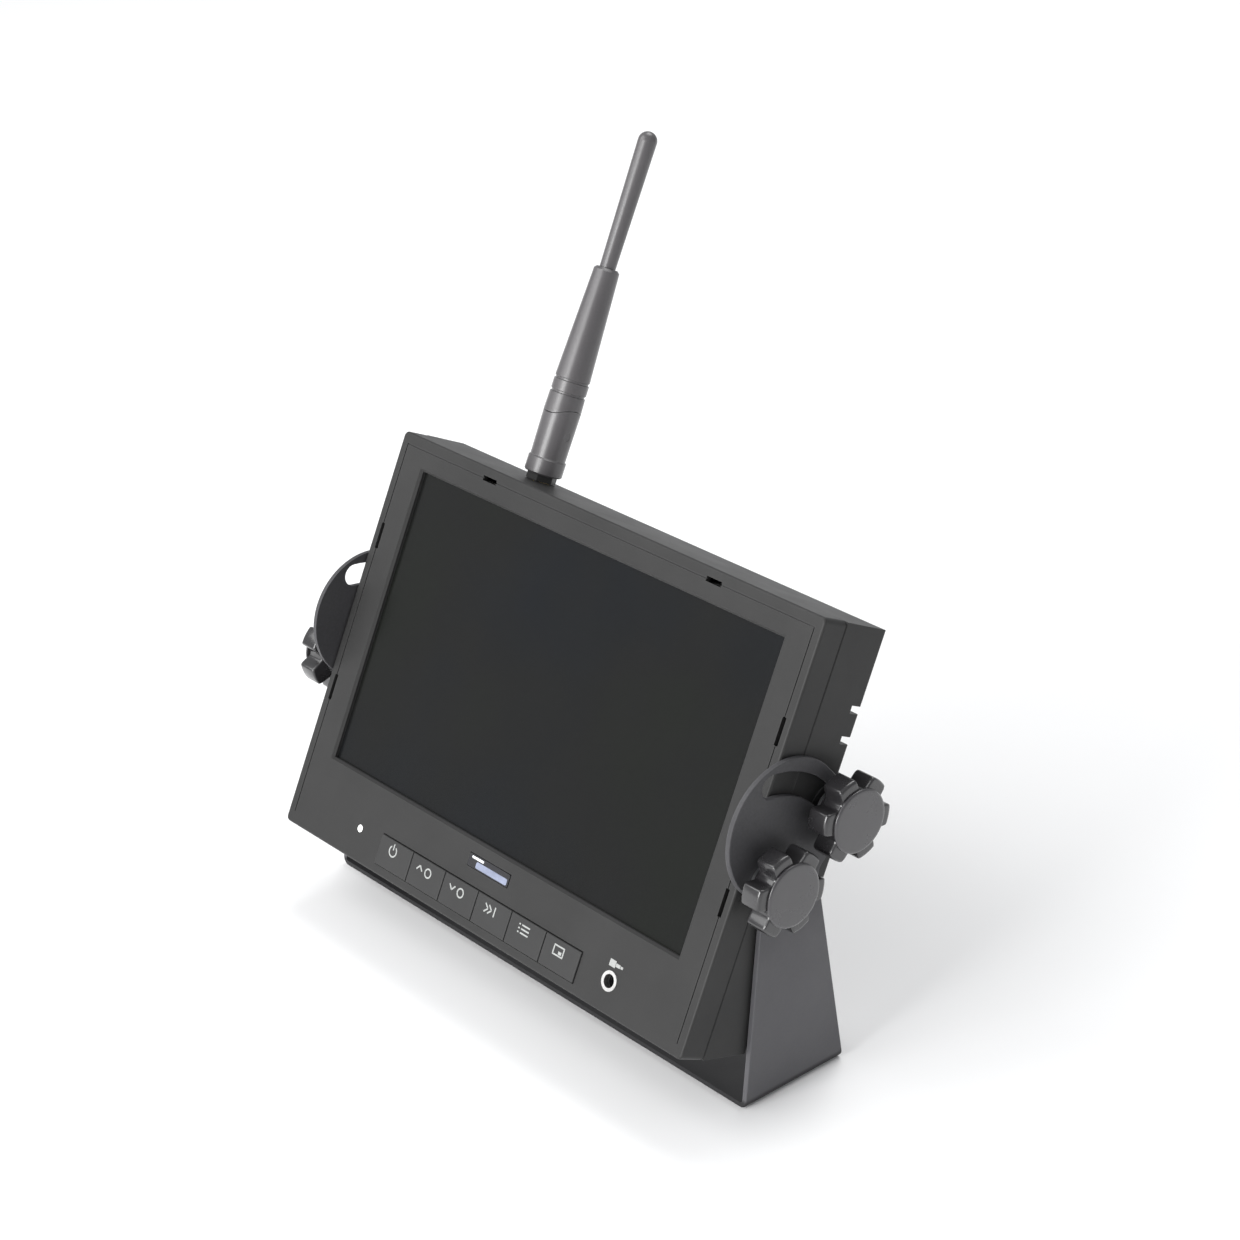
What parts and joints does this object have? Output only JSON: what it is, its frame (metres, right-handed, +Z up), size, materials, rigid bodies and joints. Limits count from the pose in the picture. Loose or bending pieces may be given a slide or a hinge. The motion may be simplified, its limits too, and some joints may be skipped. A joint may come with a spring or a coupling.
{
  "type": "wireless reversing monitor on a bracket",
  "caption": "Flat wide screen with a keyed frame and a folding whip antenna, tilting between the arms of a folded U-bracket and clamped by star knobs.",
  "frame": {"origin": "centre of the underside of the bracket's base", "axes": "+Z up from the base, -Y the way the screen faces, +X to the right of a person looking at the screen"},
  "size_m": [0.2056, 0.1189, 0.2231],
  "materials": {
    "bracket_paint": "fine powder coat",
    "case_plastic": "fine spark texture",
    "screen": "smooth",
    "knob_plastic": "semi gloss",
    "key_plastic": "satin",
    "antenna_plastic": "semi gloss",
    "steel": "zinc plated",
    "brass": "turned",
    "rubber": "matt",
    "board": "solder mask",
    "chip": "moulded",
    "light_box": "moulded",
    "tin": "bright tin",
    "magnet": "ferrite",
    "paper_cone": "pressed paper",
    "clear_plastic": "clear",
    "bright_ring": "polished",
    "badge": "smooth"
  },
  "bodies": {
    "bracket": {"u_bracket": "bracket_paint"},
    "monitor": {"front_bezel": "case_plastic", "rear_case": "case_plastic", "case_screws": "steel", "bracket_inserts": "brass", "friction_pads": "rubber", "screen_glass": "screen", "backlight": "light_box", "lcd_tray": "steel", "lcd_screws": "steel", "board_standoffs": "brass", "main_board": "board", "board_parts": "chip", "board_screws": "steel", "receiver_board": "board", "receiver_shield": "tin", "speaker_frame": "chip", "speaker_cone": "paper_cone", "speaker_magnet": "magnet", "cable_grommet": "rubber", "tact_switches": "chip", "key_board": "board", "led_lens": "clear_plastic", "power_led": "light_box", "av_jack_body": "chip", "av_jack_ring": "bright_ring", "name_badge": "badge", "antenna_socket": "brass", "socket_nut": "case_plastic"},
    "key_1": {"key_1": "key_plastic"},
    "key_2": {"key_2": "key_plastic"},
    "key_3": {"key_3": "key_plastic"},
    "key_4": {"key_4": "key_plastic"},
    "key_5": {"key_5": "key_plastic"},
    "key_6": {"key_6": "key_plastic"},
    "washer_pivot_right": {"washer_pivot_right": "steel"},
    "knob_pivot_right": {"knob_pivot_right": "knob_plastic", "stud_pivot_right": "steel"},
    "washer_clamp_right": {"washer_clamp_right": "steel"},
    "knob_clamp_right": {"knob_clamp_right": "knob_plastic", "stud_clamp_right": "steel"},
    "washer_pivot_left": {"washer_pivot_left": "steel"},
    "knob_pivot_left": {"knob_pivot_left": "knob_plastic", "stud_pivot_left": "steel"},
    "washer_clamp_left": {"washer_clamp_left": "steel"},
    "knob_clamp_left": {"knob_clamp_left": "knob_plastic", "stud_clamp_left": "steel"},
    "antenna_base": {"antenna_collar": "antenna_plastic", "antenna_knuckle": "antenna_plastic", "antenna_pin": "antenna_plastic"},
    "antenna_whip": {"antenna_sleeve": "antenna_plastic", "antenna_rod": "antenna_plastic"}
  },
  "joints": [
    {"name": "monitor_tilt", "type": "hinge", "parent": "bracket", "child": "monitor", "pos_m": [0, -0.0089, 0.0683], "axis": [1, 0, 0], "range_deg": [-3.2, 58.2]},
    {"name": "key_1_press", "type": "slide", "parent": "monitor", "child": "key_1", "axis": [0, 0.8942, -0.4478], "range_m": [0, 0.0005], "stiffness_N_per_m": 700},
    {"name": "key_2_press", "type": "slide", "parent": "monitor", "child": "key_2", "axis": [0, 0.8942, -0.4478], "range_m": [0, 0.0005], "stiffness_N_per_m": 700},
    {"name": "key_3_press", "type": "slide", "parent": "monitor", "child": "key_3", "axis": [0, 0.8942, -0.4478], "range_m": [0, 0.0005], "stiffness_N_per_m": 700},
    {"name": "key_4_press", "type": "slide", "parent": "monitor", "child": "key_4", "axis": [0, 0.8942, -0.4478], "range_m": [0, 0.0005], "stiffness_N_per_m": 700},
    {"name": "key_5_press", "type": "slide", "parent": "monitor", "child": "key_5", "axis": [0, 0.8942, -0.4478], "range_m": [0, 0.0005], "stiffness_N_per_m": 700},
    {"name": "key_6_press", "type": "slide", "parent": "monitor", "child": "key_6", "axis": [0, 0.8942, -0.4478], "range_m": [0, 0.0005], "stiffness_N_per_m": 700},
    {"name": "pivot_right_travel", "type": "slide", "parent": "monitor", "child": "washer_pivot_right", "axis": [1, 0, 0], "range_m": [0, 0.0032]},
    {"name": "pivot_right_turn", "type": "hinge", "parent": "washer_pivot_right", "child": "knob_pivot_right", "pos_m": [0.097, -0.0089, 0.0683], "axis": [1, 0, 0], "range_deg": [0, 1440]},
    {"name": "clamp_right_travel", "type": "slide", "parent": "monitor", "child": "washer_clamp_right", "axis": [1, 0, 0], "range_m": [0, 0.0032]},
    {"name": "clamp_right_turn", "type": "hinge", "parent": "washer_clamp_right", "child": "knob_clamp_right", "pos_m": [0.097, 0.01532, 0.08091], "axis": [1, 0, 0], "range_deg": [0, 1440]},
    {"name": "pivot_left_travel", "type": "slide", "parent": "monitor", "child": "washer_pivot_left", "axis": [-1, 0, 0], "range_m": [0, 0.0032]},
    {"name": "pivot_left_turn", "type": "hinge", "parent": "washer_pivot_left", "child": "knob_pivot_left", "pos_m": [-0.097, -0.0089, 0.0683], "axis": [-1, 0, 0], "range_deg": [0, 1440]},
    {"name": "clamp_left_travel", "type": "slide", "parent": "monitor", "child": "washer_clamp_left", "axis": [-1, 0, 0], "range_m": [0, 0.0032]},
    {"name": "clamp_left_turn", "type": "hinge", "parent": "washer_clamp_left", "child": "knob_clamp_left", "pos_m": [-0.097, 0.01532, 0.08091], "axis": [-1, 0, 0], "range_deg": [0, 1440]},
    {"name": "antenna_swivel", "type": "hinge", "parent": "monitor", "child": "antenna_base", "pos_m": [-0.045, 0.03201, 0.13035], "axis": [0, 0.4478, 0.8942], "range_deg": [-170, 170]},
    {"name": "antenna_fold", "type": "hinge", "parent": "antenna_base", "child": "antenna_whip", "pos_m": [-0.045, 0.03761, 0.14153], "axis": [-1, 0, 0], "range_deg": [0, 90]}
  ],
  "couplings": [
    {"joint": "pivot_right_turn", "follows": "pivot_right_travel", "rad_per_m": 7854},
    {"joint": "clamp_right_turn", "follows": "clamp_right_travel", "rad_per_m": 7854},
    {"joint": "pivot_left_turn", "follows": "pivot_left_travel", "rad_per_m": 7854},
    {"joint": "clamp_left_turn", "follows": "clamp_left_travel", "rad_per_m": 7854}
  ]
}
